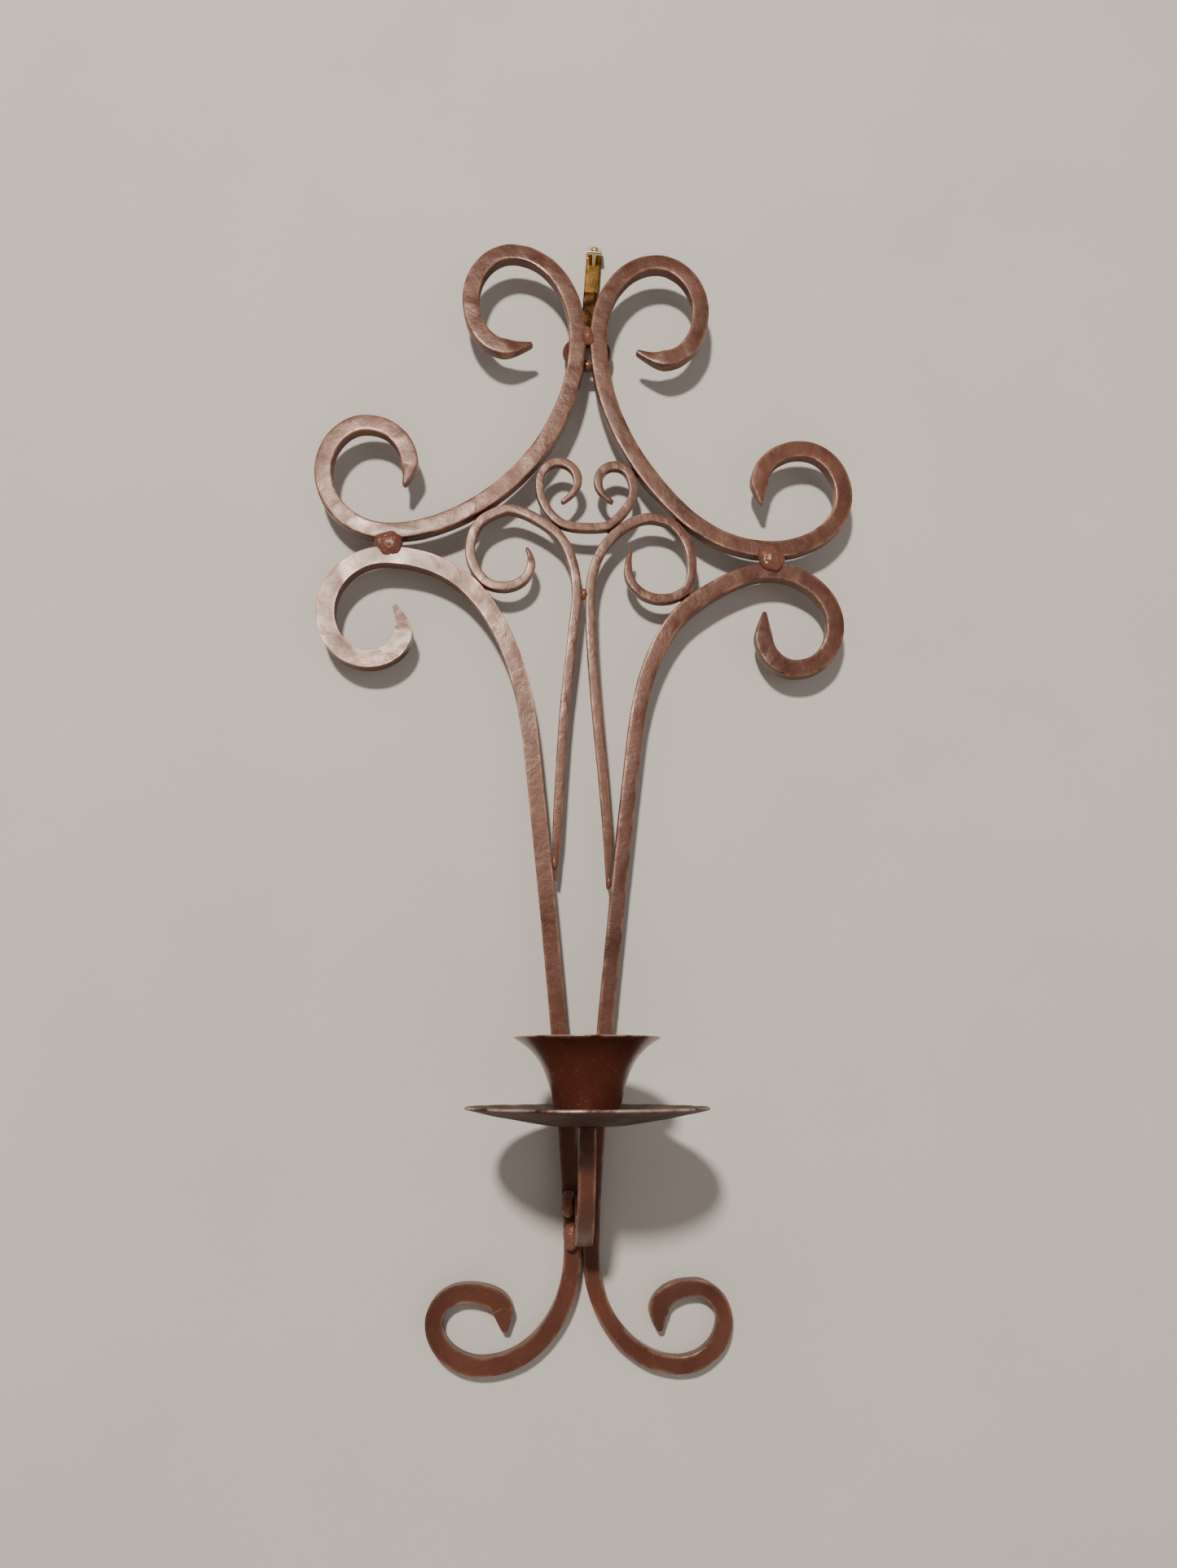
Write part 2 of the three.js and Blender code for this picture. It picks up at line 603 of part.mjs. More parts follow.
// The arm's tail is tacked twice down its left side, over the seam of the lower bars.
const ARM_LEFT = FOOT.x - ARM.width / 2;
const ARM_TACK = [3.8, 4, 5.6];
weld('arm_weld_upper', [ARM_LEFT - 1.6, FRONT - 2.4, ARM_FOOT + ARM.tail - 4], ARM_TACK, 0,
  ['lower_scroll_left', 'candle_arm']);
weld('arm_weld_lower', [ARM_LEFT - 0.9, FRONT - 2.4, ARM_FOOT + ARM.heel - 9.2], ARM_TACK, 0,
  ['lower_scroll_left', 'lower_scroll_right', 'candle_arm']);

// Each stem's point is tacked to the lower bar beside it.
function stemWeld(name, route, side, drop, pieces) {
  const { x, half } = passes(route, MAIN_BAR, INNER.z - drop);
  weld(name, [x - side * (half + 0.7), FRONT + 1.6, INNER.z - drop], [1.9, 2, 3.4], 0, pieces);
}
stemWeld('stem_weld_left', lowerLeft, -1, 132, ['lower_scroll_left', 'inner_scroll_left']);
stemWeld('stem_weld_right', lowerRight, 1, 141, ['lower_scroll_right', 'inner_scroll_right']);

// Where a thin bar only touches its neighbour, the run is behind, out of sight.
const BACK_RUN = [3.2, 2.6, 4.2];
function weldBehind(name, at, pieces, size = BACK_RUN) {
  weld(name, [at.x, -0.9, at.z], size, at.heading - 90, pieces);
}
weldBehind('loop_weld_upper_left', LEFT_UPPER_TOUCH, ['upper_scroll_left', 'inner_scroll_left']);
weldBehind('loop_weld_lower_left', LEFT_LOWER_TOUCH, ['lower_scroll_left', 'inner_scroll_left']);
weldBehind('loop_weld_upper_right', RIGHT_UPPER_TOUCH, ['upper_scroll_right', 'inner_scroll_right']);
weldBehind('loop_weld_lower_right', RIGHT_LOWER_TOUCH, ['lower_scroll_right', 'inner_scroll_right']);
weldBehind('crown_weld_left', CROWN_LEFT_TOUCH, ['crown_scroll', 'inner_scroll_left'], [2.8, 2.6, 3.4]);
weldBehind('crown_weld_right', CROWN_RIGHT_TOUCH, ['crown_scroll', 'inner_scroll_right'], [2.8, 2.6, 3.4]);
weldBehind('crown_weld_bar', CROWN_BAR_TOUCH, ['crown_scroll', 'upper_scroll_right'], [2.8, 2.6, 3.4]);

// The ring's weld is behind the top joint and takes in both upper bars.
const ringFoot = new THREE.Vector3(RING_X, WELD_Y, RING_Z - RING.radius * Math.cos(RING_LEAN))
  .applyMatrix4(intoFrame);
weld('ring_weld', [ringFoot.x, 0.4, ringFoot.z + 0.5], [5.4, 2.4, 3.4], 0,
  ['upper_scroll_left', 'upper_scroll_right', 'hanging_ring']);

export default sconce;
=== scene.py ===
import math
import bmesh
import bpy
from mathutils import Matrix, Vector, noise


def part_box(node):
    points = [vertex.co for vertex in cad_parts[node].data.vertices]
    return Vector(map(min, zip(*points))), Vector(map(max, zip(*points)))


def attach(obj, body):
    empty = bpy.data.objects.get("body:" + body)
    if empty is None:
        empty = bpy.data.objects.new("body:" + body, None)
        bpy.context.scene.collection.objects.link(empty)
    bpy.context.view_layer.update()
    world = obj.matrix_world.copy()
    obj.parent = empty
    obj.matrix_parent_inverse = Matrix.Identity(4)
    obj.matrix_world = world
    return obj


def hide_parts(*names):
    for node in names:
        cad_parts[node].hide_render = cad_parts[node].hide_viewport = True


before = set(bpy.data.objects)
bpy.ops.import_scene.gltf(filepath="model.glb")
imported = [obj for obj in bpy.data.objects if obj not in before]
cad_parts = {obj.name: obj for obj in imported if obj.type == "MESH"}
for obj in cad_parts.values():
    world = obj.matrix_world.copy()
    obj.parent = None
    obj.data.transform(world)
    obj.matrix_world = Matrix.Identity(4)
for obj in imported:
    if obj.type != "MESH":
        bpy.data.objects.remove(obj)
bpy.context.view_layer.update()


# ---- Picture hook ----
# A strip of brass-plated sheet steel, bent up round a trough for the ring and folded over at
# its top, where the nail goes through both layers. It is nailed up a few degrees out of plumb.

def new_piece(name, bm, body, material):
    mesh = bpy.data.meshes.new(name)
    bm.to_mesh(mesh)
    bm.free()
    for face in mesh.polygons:
        face.use_smooth = True
    piece = bpy.data.objects.new(name, mesh)
    bpy.context.scene.collection.objects.link(piece)
    mesh.materials.append(material)
    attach(piece, body)
    return piece


def subdivide(piece, levels):
    smooth = piece.modifiers.new("smooth", "SUBSURF")
    smooth.levels = smooth.render_levels = levels
    return piece


def new_material(name):
    material = bpy.data.materials.new(name)
    material.use_nodes = True
    nodes = material.node_tree.nodes
    return material, nodes, material.node_tree.links, nodes["Principled BSDF"]


def new_group(name, inputs, outputs):
    group = bpy.data.node_groups.new(name, "ShaderNodeTree")
    kinds = {"colour": "NodeSocketColor", "value": "NodeSocketFloat", "vector": "NodeSocketVector"}
    for label, kind in inputs:
        group.interface.new_socket(label, in_out="INPUT", socket_type=kinds[kind])
    for label, kind in outputs:
        group.interface.new_socket(label, in_out="OUTPUT", socket_type=kinds[kind])
    return group, group.nodes.new("NodeGroupInput"), group.nodes.new("NodeGroupOutput")


def noise_texture(nodes, links, vector, scale, detail=3.0, roughness=0.55):
    texture = nodes.new("ShaderNodeTexNoise")
    texture.inputs["Scale"].default_value = scale
    texture.inputs["Detail"].default_value = detail
    texture.inputs["Roughness"].default_value = roughness
    links.new(vector, texture.inputs["Vector"])
    return texture.outputs["Fac"]


def spread(nodes, links, value, low, high, out_low=0.0, out_high=1.0):
    node = nodes.new("ShaderNodeMapRange")
    node.inputs["From Min"].default_value = low
    node.inputs["From Max"].default_value = high
    node.inputs["To Min"].default_value = out_low
    node.inputs["To Max"].default_value = out_high
    links.new(value, node.inputs["Value"])
    return node.outputs["Result"]


def combine(nodes, links, operation, first, second):
    node = nodes.new("ShaderNodeMath")
    node.operation = operation
    for socket, given in zip(node.inputs, (first, second)):
        if isinstance(given, (int, float)):
            socket.default_value = given
        else:
            links.new(given, socket)
    return node.outputs["Value"]


def mix_colours(nodes, links, factor, first, second):
    node = nodes.new("ShaderNodeMix")
    node.data_type = "RGBA"
    for socket, given in ((node.inputs[0], factor), (node.inputs[6], first), (node.inputs[7], second)):
        if isinstance(given, (int, float, tuple)):
            socket.default_value = given
        else:
            links.new(given, socket)
    return node.outputs[2]


def brass_material():
    material, nodes, links, surface = new_material("tarnished_brass_painted_light")
    place = nodes.new("ShaderNodeTexCoord").outputs["Object"]
    tarnish = spread(nodes, links, noise_texture(nodes, links, place, 160, 4), 0.40, 0.64)
    # The attribute read here paints light and shade into the brass colour: 0 gives a near-black painted
    # shade, 0.5 the plain brass, and 1 a pale painted highlight, where the tarnish is also thinned.
    painted_brass_light = nodes.new("ShaderNodeAttribute")
    painted_brass_light.attribute_name = "painted_brass_light"
    out_of_painted_shade = spread(nodes, links, painted_brass_light.outputs["Fac"], 0, 0.5)
    painted_highlight_mask = spread(nodes, links, painted_brass_light.outputs["Fac"], 0.5, 1)
    gold = mix_colours(nodes, links, out_of_painted_shade, (0.07, 0.030, 0.012, 1), (0.42, 0.23, 0.06, 1))
    gold = mix_colours(nodes, links, painted_highlight_mask, gold, (1.0, 0.86, 0.58, 1))
    stain = combine(nodes, links, "MULTIPLY", tarnish,
                    combine(nodes, links, "SUBTRACT", 0.85, combine(nodes, links, "MULTIPLY", painted_highlight_mask, 0.7)))
    links.new(mix_colours(nodes, links, stain, gold, (0.10, 0.048, 0.014, 1)), surface.inputs["Base Color"])
    stretched = nodes.new("ShaderNodeMapping")
    stretched.inputs["Scale"].default_value = (9, 9, 0.35)
    links.new(place, stretched.inputs["Vector"])
    rolled = noise_texture(nodes, links, stretched.outputs["Vector"], 420, 2)
    rough = combine(nodes, links, "ADD", spread(nodes, links, stain, 0, 1, 0.15, 0.38),
                    spread(nodes, links, rolled, 0.3, 0.7, 0, 0.1))
    links.new(rough, surface.inputs["Roughness"])
    surface.inputs["Metallic"].default_value = 1.0
    bump = nodes.new("ShaderNodeBump")
    bump.inputs["Strength"].default_value = 0.25
    bump.inputs["Distance"].default_value = 0.0001
    links.new(rolled, bump.inputs["Height"])
    links.new(bump.outputs["Normal"], surface.inputs["Normal"])
    return material


brass = brass_material()
HOOK_TILT = math.radians(3.6)
STRIP_WIDTH = 0.0084
STRIP_THICKNESS = 0.0015
TROUGH_RADIUS = 0.003
LIP_HEIGHT = 0.0253
FOLD_RADIUS = 0.0017
FOLD_HEIGHT = 0.011
FOLD_ANGLE = math.radians(142)
FLAP_LENGTH = 0.0065
NAIL_SLOPE = math.radians(38)


def bend_end(bm, face, centre, angle, steps):
    """Turns the strip's end face round a line across the strip, as a bender does."""
    out = bmesh.ops.spin(bm, geom=[face], cent=centre, axis=(1, 0, 0), dvec=(0, 0, 0),
                         angle=angle, steps=steps, use_duplicate=False)
    return [g for g in out["geom_last"] if isinstance(g, bmesh.types.BMFace)][0]


def draw_out(bm, face, along, steps=1):
    for _ in range(steps):
        out = bmesh.ops.extrude_face_region(bm, geom=[face])
        fresh = [g for g in out["geom"] if isinstance(g, bmesh.types.BMVert)]
        bmesh.ops.translate(bm, verts=fresh, vec=Vector(along) / steps)
        bmesh.ops.delete(bm, geom=[face], context="FACES_ONLY")
        face = [g for g in out["geom"] if isinstance(g, bmesh.types.BMFace)][0]
    return face


def make_strip():
    low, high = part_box("hook_strip")
    bend = TROUGH_RADIUS + STRIP_THICKNESS / 2
    middle = -STRIP_THICKNESS / 2
    bottom = (low[2] + STRIP_WIDTH / 2 * math.sin(HOOK_TILT)) / math.cos(HOOK_TILT)
    trough_z = bottom + TROUGH_RADIUS + STRIP_THICKNESS
    bm = bmesh.new()
    face = bm.faces.new([bm.verts.new((x * STRIP_WIDTH, middle - 2 * bend + y * STRIP_THICKNESS,
                                       trough_z + LIP_HEIGHT))
                         for x, y in ((-0.5, -0.5), (0.5, -0.5), (0.5, 0.5), (-0.5, 0.5))])
    face = draw_out(bm, face, (0, 0, -LIP_HEIGHT), 6)
    face = bend_end(bm, face, (0, middle - bend, trough_z), math.pi, 12)
    face = draw_out(bm, face, (0, 0, FOLD_HEIGHT - trough_z), 14)
    fold = FOLD_RADIUS + STRIP_THICKNESS / 2
    face = bend_end(bm, face, (0, middle - fold, FOLD_HEIGHT), FOLD_ANGLE, 10)
    down = Vector((0, -math.sin(NAIL_SLOPE), -math.cos(NAIL_SLOPE)))
    draw_out(bm, face, down * FLAP_LENGTH, 3)
    bmesh.ops.remove_doubles(bm, verts=bm.verts, dist=1e-6)
    bmesh.ops.recalc_face_normals(bm, faces=bm.faces)
    return bm


def round_long_edges(bm, offset, segments=2, angle=40):
    sharp = [e for e in bm.edges
             if len(e.link_faces) == 2 and e.calc_face_angle() > math.radians(angle)]
    bmesh.ops.bevel(bm, geom=sharp, offset=offset, offset_type="OFFSET", segments=segments,
                    profile=0.5, affect="EDGES", clamp_overlap=True, material=-1)


def mark_painted_light(bm, amount):
    layer = bm.verts.layers.float.new("painted_brass_light")
    for vert in bm.verts:
        vert[layer] = amount(vert.co)


def strip_painted_light(spot):
    """Paints light and shade on the strip: a painted shade on the lip but for a painted highlight along its
    right edge, a painted highlight on the fold's front and the flap, and plain brass elsewhere.
    """
    if spot.y < -0.0042 and spot.z < FOLD_HEIGHT / 2:
        return 1.0 if spot.x > STRIP_WIDTH / 2 - 0.0004 else 0.0
    return 1.0 if spot.y < -STRIP_THICKNESS - 0.0002 and spot.z > 0 else 0.5


strip_bm = make_strip()
round_long_edges(strip_bm, 0.00055, 2, 60)
mark_painted_light(strip_bm, strip_painted_light)
bmesh.ops.rotate(strip_bm, verts=strip_bm.verts, cent=(0, 0, 0),
                 matrix=Matrix.Rotation(HOOK_TILT, 3, "Y"))
strip = new_piece("hook_strip_bent", strip_bm, "wall_hook", brass)
subdivide(strip, 1)
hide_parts("hook_strip")


def turn(profile, steps):
    """Turns a profile of (radius, height) points about Z into a closed solid."""
    bm = bmesh.new()
    verts = [bm.verts.new((r, 0, z)) for r, z in profile]
    edges = [bm.edges.new(pair) for pair in zip(verts, verts[1:])]
    bmesh.ops.spin(bm, geom=verts + edges, cent=(0, 0, 0), axis=(0, 0, 1), dvec=(0, 0, 0),
                   angle=2 * math.pi, steps=steps, use_merge=True)
    bmesh.ops.remove_doubles(bm, verts=bm.verts, dist=1e-6)
    bmesh.ops.recalc_face_normals(bm, faces=bm.faces)
    return bm


def make_nail():
    head = [(0, 0.00125), (0.0010, 0.0012), (0.0019, 0.00095), (0.0024, 0.0006), (0.00255, 0.0003),
            (0.0025, 0.00004), (0.0022, 0)]
    shank = [(0.00078, 0), (0.00078, -0.008), (0.00078, -0.0205), (0.0004, -0.0225), (0, -0.0237)]
    bm = turn(head + shank, 28)
    bmesh.ops.rotate(bm, verts=bm.verts, cent=(0, 0, 0),
                     matrix=Matrix.Rotation(math.pi / 2 - NAIL_SLOPE, 3, "X"))
    fold = FOLD_RADIUS + STRIP_THICKNESS / 2
    out = Vector((0, -math.cos(NAIL_SLOPE), math.sin(NAIL_SLOPE)))
    down = Vector((0, -math.sin(NAIL_SLOPE), -math.cos(NAIL_SLOPE)))
    middle = Vector((0, -STRIP_THICKNESS / 2 - fold, FOLD_HEIGHT))
    seat = middle + out * (fold + STRIP_THICKNESS / 2 + 0.0003) + down * FLAP_LENGTH / 2
    bmesh.ops.translate(bm, verts=bm.verts, vec=seat)
    bmesh.ops.rotate(bm, verts=bm.verts, cent=(0, 0, 0), matrix=Matrix.Rotation(HOOK_TILT, 3, "Y"))
    return bm


nail_bm = make_nail()
# The whole nail is given the pale painted-highlight colour.
mark_painted_light(nail_bm, lambda spot: 1.0)
nail = new_piece("hook_nail_turned", nail_bm, "wall_hook", brass)
subdivide(nail, 1)
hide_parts("hook_nail")


# ---- Main scroll bars ----
# Four square bars of mild steel, about 9 by 7 mm, drawn to points and curled hot on a scroll
# iron. The hammer leaves shallow flats and soft corners, and thick dark brown paint covers them.

def hammered_paint():
    group, given, result = new_group(
        "hammered_paint",
        [("Vector", "vector"), ("Paint", "colour"), ("Warm", "colour"), ("Worn", "colour"),
         ("Edge", "value"), ("Wear", "value"), ("Up", "value"), ("Dust", "value"), ("Dull", "value")],
        [("Colour", "colour"), ("Roughness", "value"), ("Height", "value"), ("Bare", "value")])
    nodes, links = group.nodes, group.links
    vector = given.outputs["Vector"]
    clouds = spread(nodes, links, noise_texture(nodes, links, vector, 28, 3), 0.35, 0.68)
    tone = mix_colours(nodes, links, clouds, given.outputs["Paint"], given.outputs["Warm"])
    grain = noise_texture(nodes, links, vector, 900, 4, 0.7)
    specks = spread(nodes, links, grain, 0.60, 0.74)
    tone = mix_colours(nodes, links, combine(nodes, links, "MULTIPLY", specks, 0.22),
                       tone, given.outputs["Worn"])
    # Corners wear first, in broken patches.
    patches = spread(nodes, links, noise_texture(nodes, links, vector, 95, 5, 0.65), 0.40, 0.62)
    corner = combine(nodes, links, "MULTIPLY", given.outputs["Edge"], given.outputs["Wear"])
    worn = combine(nodes, links, "MULTIPLY", corner, patches)
    tone = mix_colours(nodes, links, worn, tone, given.outputs["Worn"])
    links.new(worn, result.inputs["Bare"])
    # Pale dust lies on whatever faces up.
    settled = combine(nodes, links, "MULTIPLY", given.outputs["Up"], given.outputs["Dust"])
    drifts = spread(nodes, links, noise_texture(nodes, links, vector, 210, 4, 0.6), 0.3, 0.7, 0.35, 1)
    settled = combine(nodes, links, "MULTIPLY", settled, drifts)
    tone = mix_colours(nodes, links, settled, tone, (0.30, 0.24, 0.20, 1))
    links.new(tone, result.inputs["Colour"])
    gloss = spread(nodes, links, noise_texture(nodes, links, vector, 55, 4, 0.6), 0.3, 0.7, -0.12, 0.10)
    gloss = combine(nodes, links, "ADD", gloss, given.outputs["Dull"])
    gloss = combine(nodes, links, "ADD", gloss, combine(nodes, links, "MULTIPLY", settled, 0.3))
    gloss = combine(nodes, links, "ADD", gloss, combine(nodes, links, "MULTIPLY", specks, 0.12))
    links.new(gloss, result.inputs["Roughness"])
    # Brushed paint pools a little over the hammer marks, and mill scale shows under it.
    ridges = noise_texture(nodes, links, vector, 240, 3, 0.5)
    height = combine(nodes, links, "ADD", ridges, combine(nodes, links, "MULTIPLY", grain, 0.35))
    links.new(height, result.inputs["Height"])
    return group


paint_group = hammered_paint()


def painted_iron(name, paint, warm, worn, wear, dust, dull, coat, bump_strength, shine=0.5):
    material, nodes, links, surface = new_material(name)
    coords = nodes.new("ShaderNodeTexCoord")
    edge = nodes.new("ShaderNodeAttribute")
    edge.attribute_name = "corner"
    upward = nodes.new("ShaderNodeSeparateXYZ")
    links.new(coords.outputs["Normal"], upward.inputs["Vector"])
    paint_node = nodes.new("ShaderNodeGroup")
    paint_node.node_tree = paint_group
    links.new(coords.outputs["Object"], paint_node.inputs["Vector"])
    for label, colour in (("Paint", paint), ("Warm", warm), ("Worn", worn)):
        paint_node.inputs[label].default_value = (*colour, 1)
    links.new(edge.outputs["Fac"], paint_node.inputs["Edge"])
    paint_node.inputs["Wear"].default_value = wear
    links.new(spread(nodes, links, upward.outputs["Z"], 0.55, 1.0), paint_node.inputs["Up"])
    paint_node.inputs["Dust"].default_value = dust
    paint_node.inputs["Dull"].default_value = dull
    links.new(paint_node.outputs["Colour"], surface.inputs["Base Color"])
    links.new(paint_node.outputs["Roughness"], surface.inputs["Roughness"])
    links.new(paint_node.outputs["Bare"], surface.inputs["Metallic"])
    bump = nodes.new("ShaderNodeBump")
    bump.inputs["Strength"].default_value = bump_strength
    bump.inputs["Distance"].default_value = 0.0006
    links.new(paint_node.outputs["Height"], bump.inputs["Height"])
    links.new(bump.outputs["Normal"], surface.inputs["Normal"])
    surface.inputs["Specular IOR Level"].default_value = shine
    surface.inputs["Specular Tint"].default_value = (1.0, 0.74, 0.62, 1)
    surface.inputs["Coat Weight"].default_value = coat
    surface.inputs["Coat Roughness"].default_value = 0.16
    return material


bar_paint = painted_iron("dark_brown_paint", (0.060, 0.019, 0.012), (0.105, 0.034, 0.021),
                         (0.46, 0.25, 0.17), wear=0.95, dust=0.22, dull=0.36, coat=0.04, bump_strength=0.28)


def mark_corners(bm, angle):
    """Keeps, for each point, how near it is to a worn corner of the stock."""
    layer = bm.verts.layers.float.new("corner")
    for edge in bm.edges:
        if len(edge.link_faces) == 2 and edge.calc_face_angle() > math.radians(angle):
            for vert in edge.verts:
                vert[layer] = 1.0


def strike(mesh, size, depth, seed):
    """Dents a finished skin inwards with overlapping hammer marks."""
    offset = Vector((seed * 3.1, seed * 1.7, seed * 2.3))
    normals = [vert.normal.copy() for vert in mesh.vertices]
    for vert, normal in zip(mesh.vertices, normals):
        place = vert.co / size + offset
        near, far = noise.voronoi(place, distance_metric="DISTANCE", exponent=2.5)[0][:2]
        flat = min(1.0, (far - near) / 0.55)
        wave = 0.5 + 0.5 * noise.noise(vert.co / (size * 2.6) + offset)
        vert.co -= normal * depth * (0.25 + 0.75 * flat) * (0.35 + 0.65 * wave)


def settle(piece):
    """Applies a piece's modifiers to its mesh."""
    evaluated = piece.evaluated_get(bpy.context.evaluated_depsgraph_get())
    mesh = bpy.data.meshes.new_from_object(evaluated)
    piece.modifiers.clear()
    piece.data = mesh
    return mesh


def forge(node, corner, size, depth, seed, material, levels=2):
    """Makes the visible bar from its CAD node: soft corners, a smooth sweep, hammer marks."""
    bm = bmesh.new()
    bm.from_mesh(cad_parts[node].data)
    bmesh.ops.remove_doubles(bm, verts=bm.verts, dist=1e-6)
    bmesh.ops.join_triangles(bm, faces=bm.faces, angle_face_threshold=math.radians(4),
                             angle_shape_threshold=math.radians(180))
    round_long_edges(bm, corner, 2, 50)
    mark_corners(bm, 24)
    piece = new_piece(node + "_forged", bm, "sconce", material)
    subdivide(piece, levels)
    mesh = settle(piece)
    strike(mesh, size, depth, seed)
    for face in mesh.polygons:
        face.use_smooth = True
    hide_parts(node)
    return piece


for seed, node in enumerate(("upper_scroll_left", "upper_scroll_right",
                             "lower_scroll_left", "lower_scroll_right")):
    forge(node, 0.0008, 0.014, 0.00034, seed + 1, bar_paint)


# ---- Inner scrolls and crown ----
# Three lighter bars, 5 mm and 4 mm square, curled the same way. They fill the middle of the
# frame and are painted with it.

for seed, node in enumerate(("inner_scroll_left", "inner_scroll_right")):
    forge(node, 0.0006, 0.010, 0.00018, seed + 11, bar_paint)
forge("crown_scroll", 0.0006, 0.010, 0.00016, 17, bar_paint)


# ---- Hanging ring ----
# A ring of round wire, closed by its weld behind the top joint.

def make_ring():
    low, high = [Vector(corner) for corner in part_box("hanging_ring")]
    wire = 0.00185
    radius = (high.x - low.x) / 2 - wire
    lean = math.asin((high.y - low.y - 2 * wire) / (2 * radius))
    bm = bmesh.new()
    bmesh.ops.create_circle(bm, cap_ends=False, radius=wire, segments=16)
    bmesh.ops.translate(bm, verts=bm.verts, vec=(radius, 0, 0))
    bmesh.ops.rotate(bm, verts=bm.verts, cent=(radius, 0, 0),
                     matrix=Matrix.Rotation(math.pi / 2, 3, "X"))
    bmesh.ops.spin(bm, geom=bm.verts[:] + bm.edges[:], cent=(0, 0, 0), axis=(0, 0, 1),
                   dvec=(0, 0, 0), angle=2 * math.pi, steps=72, use_merge=True)
    bmesh.ops.remove_doubles(bm, verts=bm.verts, dist=1e-6)
    bmesh.ops.recalc_face_normals(bm, faces=bm.faces)
    bmesh.ops.rotate(bm, verts=bm.verts, cent=(0, 0, 0),
                     matrix=Matrix.Rotation(math.pi / 2 - lean, 3, "X"))
    bmesh.ops.translate(bm, verts=bm.verts, vec=(low + high) / 2)
    return bm


ring = new_piece("hanging_ring_bent", make_ring(), "sconce", bar_paint)
strike(ring.data, 0.006, 0.00012, 5)
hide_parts("hanging_ring")


# ---- Welds ----
# Short runs of weld metal laid over each joint and painted with the bars, in colours made lighter as a
# painted sheen. Each is a low puddle with drops run into its edge, rounder and rougher than the bars that
# it joins.

# These colours are lighter than the bar paint as a painted sheen. They stand in for the lamp's sheen that
# the bars catch and the round beads miss.
weld_paint_painted_sheen = painted_iron("paint_over_weld_with_painted_sheen", (0.120, 0.043, 0.028), (0.200, 0.078, 0.050),
                          (0.46, 0.27, 0.19), wear=0.7, dust=0.2, dull=0.30, coat=0.1, bump_strength=0.4)


def lay_bead(node, drops, grain, seed):
    """One run of weld metal: a low puddle with smaller drops melted into its edge."""
    low, high = [Vector(corner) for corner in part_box(node)]
    centre, half = (low + high) / 2, (high - low) / 2
    bm = bmesh.new()
    for i in range(drops + 1):
        turned = i * 2.4 + seed
        away, size = (0.0, 0.95) if i == 0 else (0.5, 0.60 + 0.12 * math.sin(seed * 3.7 + i * 2.1))
        out = bmesh.ops.create_icosphere(bm, subdivisions=3, radius=1.0)
        bmesh.ops.scale(bm, verts=out["verts"], vec=(half.x * size, half.y * size, half.z * size))
        shift = Vector((half.x * math.cos(turned), 0, half.z * math.sin(turned))) * away
        bmesh.ops.translate(bm, verts=out["verts"], vec=centre + shift)
    bead = new_piece(node + "_bead", bm, "sconce", weld_paint_painted_sheen)
    melt = bead.modifiers.new("melt", "REMESH")
    melt.mode = "VOXEL"
    melt.voxel_size = grain
    flow = bead.modifiers.new("flow", "SMOOTH")
    flow.factor = 0.6
    flow.iterations = 4
    mesh = settle(bead)
    normals = [vert.normal.copy() for vert in mesh.vertices]
    for vert, normal in zip(mesh.vertices, normals):
        ripple = noise.fractal(vert.co / 0.0022 + Vector((seed, 0, 0)), 0.8, 2.0, 3)
        vert.co += normal * 0.00028 * ripple
    for face in mesh.polygons:
        face.use_smooth = True
    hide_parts(node)
    return bead


lay_bead("top_joint_weld", 3, 0.0003, 1)
lay_bead("side_weld_left", 5, 0.0003, 2)
lay_bead("side_weld_right", 5, 0.0003, 3)
lay_bead("inner_pair_weld", 2, 0.00025, 4)
lay_bead("arm_weld_upper", 4, 0.00025, 5)
lay_bead("arm_weld_lower", 4, 0.00025, 6)
lay_bead("stem_weld_left", 3, 0.0002, 7)
lay_bead("stem_weld_right", 3, 0.0002, 8)
lay_bead("ring_weld", 3, 0.0003, 9)
for seed, node in enumerate(("loop_weld_upper_left", "loop_weld_lower_left", "loop_weld_upper_right",
                             "loop_weld_lower_right", "crown_weld_left", "crown_weld_right",
                             "crown_weld_bar")):
    lay_bead(node, 3, 0.0003, seed + 10)


# ---- Candle arm ----
# A short length of the same square bar. Its tail is tacked to the front of the two stems, and
# it swings out and up to a flat end, drilled for the screw that holds the pan and the cup.

